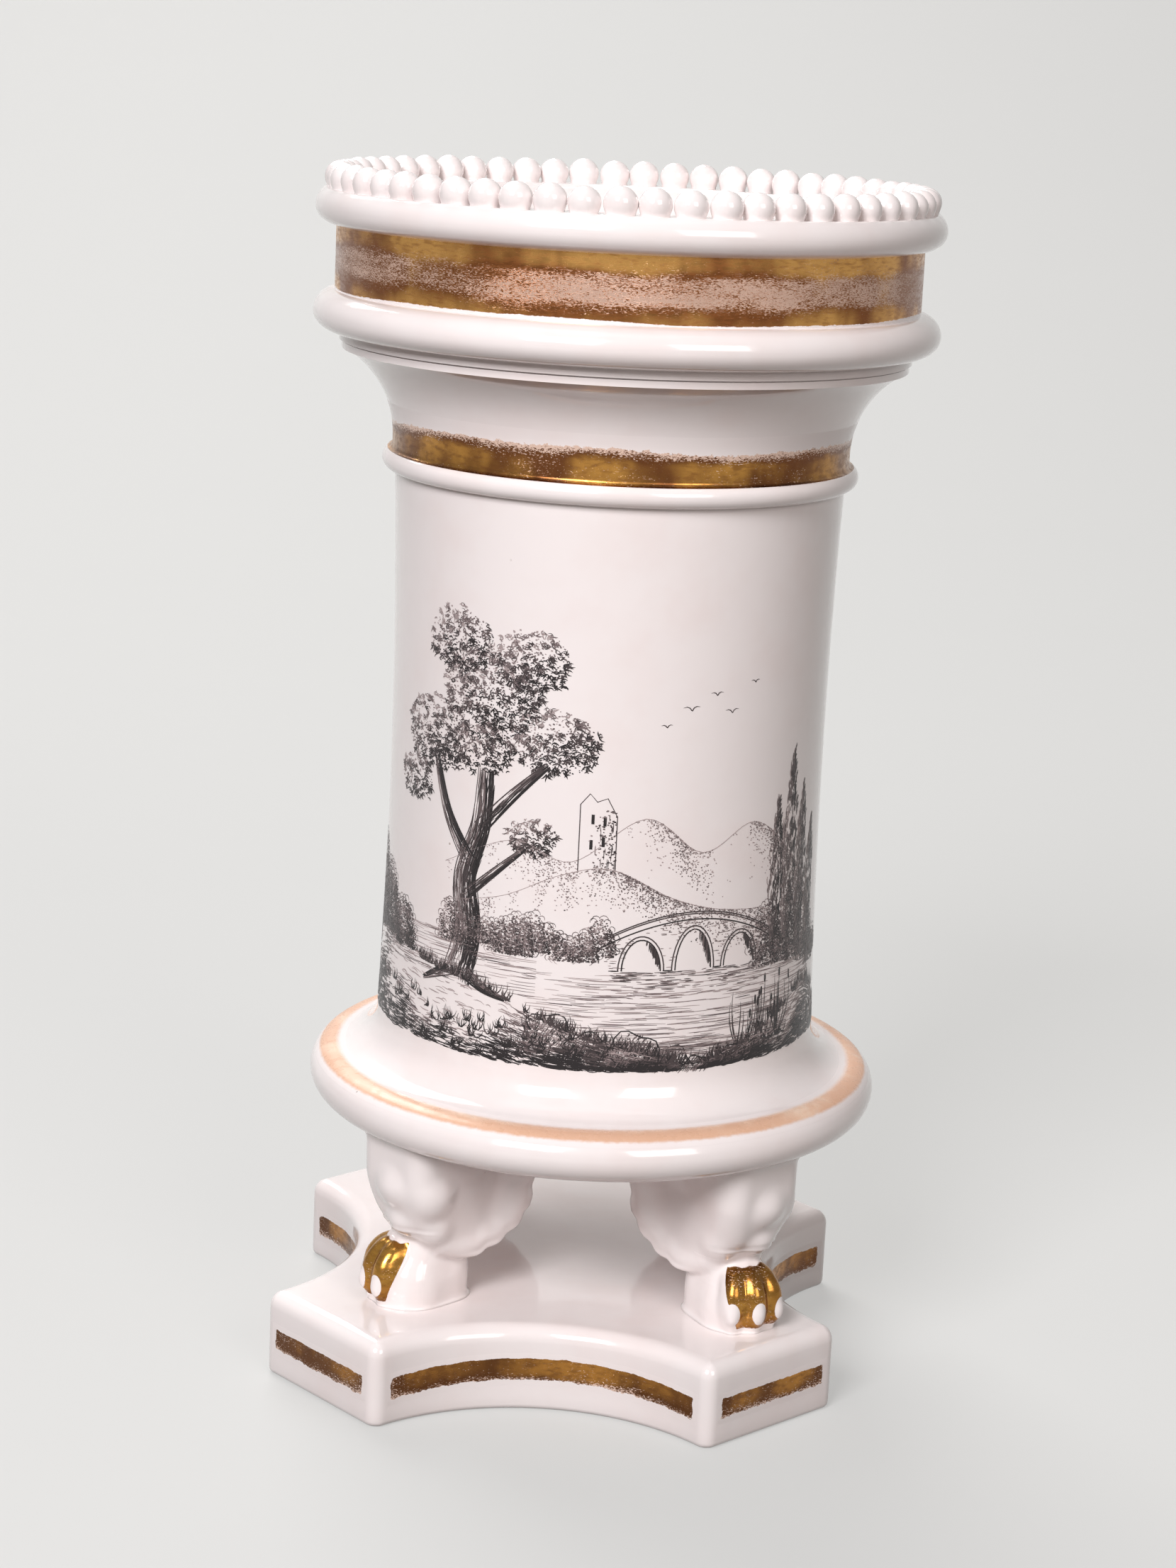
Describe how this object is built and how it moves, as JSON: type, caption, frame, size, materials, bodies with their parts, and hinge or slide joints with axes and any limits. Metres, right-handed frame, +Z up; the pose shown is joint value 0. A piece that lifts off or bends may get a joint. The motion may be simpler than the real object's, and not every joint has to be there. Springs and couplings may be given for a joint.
{
  "type": "spill vase",
  "caption": "Porcelain spill vase: open cylinder with a flared, beaded rim and gilt bands, on a round foot that winged paw legs carry over a hollow-sided plinth.",
  "frame": {"origin": "the vase's axis at the level of the plinth's flat underside", "axes": "+Z up along the vase's axis, -Y towards the front that the picture shows, +X to the right"},
  "size_m": [0.0618, 0.0618, 0.1208],
  "materials": {
    "porcelain": "clear gloss glaze",
    "gilding": "worn fired gold",
    "disc_line": "rubbed peach gold line"
  },
  "bodies": {
    "root": {"plinth": "porcelain", "leg_front_left": "porcelain", "leg_front_right": "porcelain", "leg_back_left": "porcelain", "leg_back_right": "porcelain", "foot_disc": "porcelain", "vase_body": "porcelain", "neck": "porcelain", "rim_collar": "porcelain", "rim_beads": "porcelain", "collar_gilding": "gilding", "neck_gilding": "gilding", "disc_gilding": "disc_line", "plinth_side_gilding": "gilding", "plinth_corner_gilding": "gilding", "toe_gilding": "gilding"}
  },
  "joints": []
}
